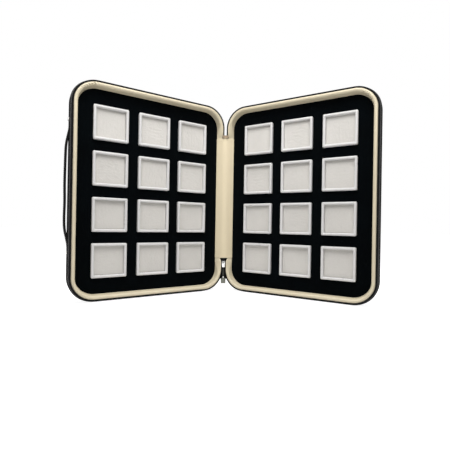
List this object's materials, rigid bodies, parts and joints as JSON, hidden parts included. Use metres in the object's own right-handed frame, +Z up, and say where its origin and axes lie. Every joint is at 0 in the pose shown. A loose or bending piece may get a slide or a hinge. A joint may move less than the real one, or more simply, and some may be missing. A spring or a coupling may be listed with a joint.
{
  "type": "coin display case",
  "caption": "Zip-round book-style display case with square coin trays on velvet boards, padded rims, a soft spine and a strap handle; stands open on its lower edges.",
  "frame": {"origin": "on the surface that the case stands on, under the middle of its bounding box as it stands open", "axes": "+X to the right across the open case, +Y away from the open mouth towards the spine's back, +Z up along the spine"},
  "size_m": [0.4488, 0.14, 0.3164],
  "materials": {
    "black_leatherette": "fine grained, semi matt",
    "cream_leatherette": "fine grained, soft sheen, padded",
    "black_velvet": "short pile",
    "grey_board": "pressed fibre board",
    "grey_pad": "fine textured paper felt",
    "white_tray": "satin moulded",
    "cream_lining": "fine grained, matt",
    "black_spine": "fine grained, semi matt",
    "black_tape": "woven zip tape",
    "black_coil": "moulded coil",
    "silver_zinc": "plated",
    "grey_zinc": "brushed plating",
    "black_strap": "smooth, cut edges",
    "nickel_rivet": "polished dome"
  },
  "bodies": {
    "left_half": {"handle_rivets": "nickel_rivet", "handle_strap": "black_strap", "left_backing_board": "grey_board", "left_end_tab": "cream_lining", "left_rim": "cream_leatherette", "left_shell": "black_leatherette", "left_spine_cover": "black_spine", "left_spine_lining": "cream_lining", "left_tray_column1_row1": "white_tray", "left_tray_column1_row2": "white_tray", "left_tray_column1_row3": "white_tray", "left_tray_column1_row4": "white_tray", "left_tray_column2_row1": "white_tray", "left_tray_column2_row2": "white_tray", "left_tray_column2_row3": "white_tray", "left_tray_column2_row4": "white_tray", "left_tray_column3_row1": "white_tray", "left_tray_column3_row2": "white_tray", "left_tray_column3_row3": "white_tray", "left_tray_column3_row4": "white_tray", "left_tray_pads": "grey_pad", "left_velvet_board": "black_velvet", "left_zip_coil": "black_coil", "left_zip_tape": "black_tape"},
    "right_half": {"right_backing_board": "grey_board", "right_end_tab": "cream_lining", "right_rim": "cream_leatherette", "right_shell": "black_leatherette", "right_spine_cover": "black_spine", "right_spine_lining": "cream_lining", "right_tray_column1_row1": "white_tray", "right_tray_column1_row2": "white_tray", "right_tray_column1_row3": "white_tray", "right_tray_column1_row4": "white_tray", "right_tray_column2_row1": "white_tray", "right_tray_column2_row2": "white_tray", "right_tray_column2_row3": "white_tray", "right_tray_column2_row4": "white_tray", "right_tray_column3_row1": "white_tray", "right_tray_column3_row2": "white_tray", "right_tray_column3_row3": "white_tray", "right_tray_column3_row4": "white_tray", "right_tray_pads": "grey_pad", "right_velvet_board": "black_velvet", "right_zip_coil": "black_coil", "right_zip_tape": "black_tape"},
    "zip_end": {"zip_end_tape": "black_tape"},
    "slider": {"zip_slider": "silver_zinc"},
    "pull": {"zip_pull": "grey_zinc"}
  },
  "joints": [
    {"name": "case_fold", "type": "hinge", "parent": "left_half", "child": "right_half", "pos_m": [0.00152, 0.04979, 0.1582], "axis": [0, 0, -1], "range_deg": [-60, 120]},
    {"name": "zip_end_turn", "type": "hinge", "parent": "left_half", "child": "zip_end", "pos_m": [0.00152, 0.04979, 0.1582], "axis": [0, 0, -1], "range_deg": [-30, 60]},
    {"name": "slider_travel", "type": "slide", "parent": "zip_end", "child": "slider", "axis": [0, 0, -1], "range_m": [0, 0.0053]},
    {"name": "pull_swing", "type": "hinge", "parent": "slider", "child": "pull", "pos_m": [0.00152, 0.05284, 0.04295], "axis": [1, 0, 0], "range_deg": [-3, 11]}
  ],
  "couplings": [
    {"joint": "zip_end_turn", "follows": "case_fold", "ratio": 0.5}
  ]
}
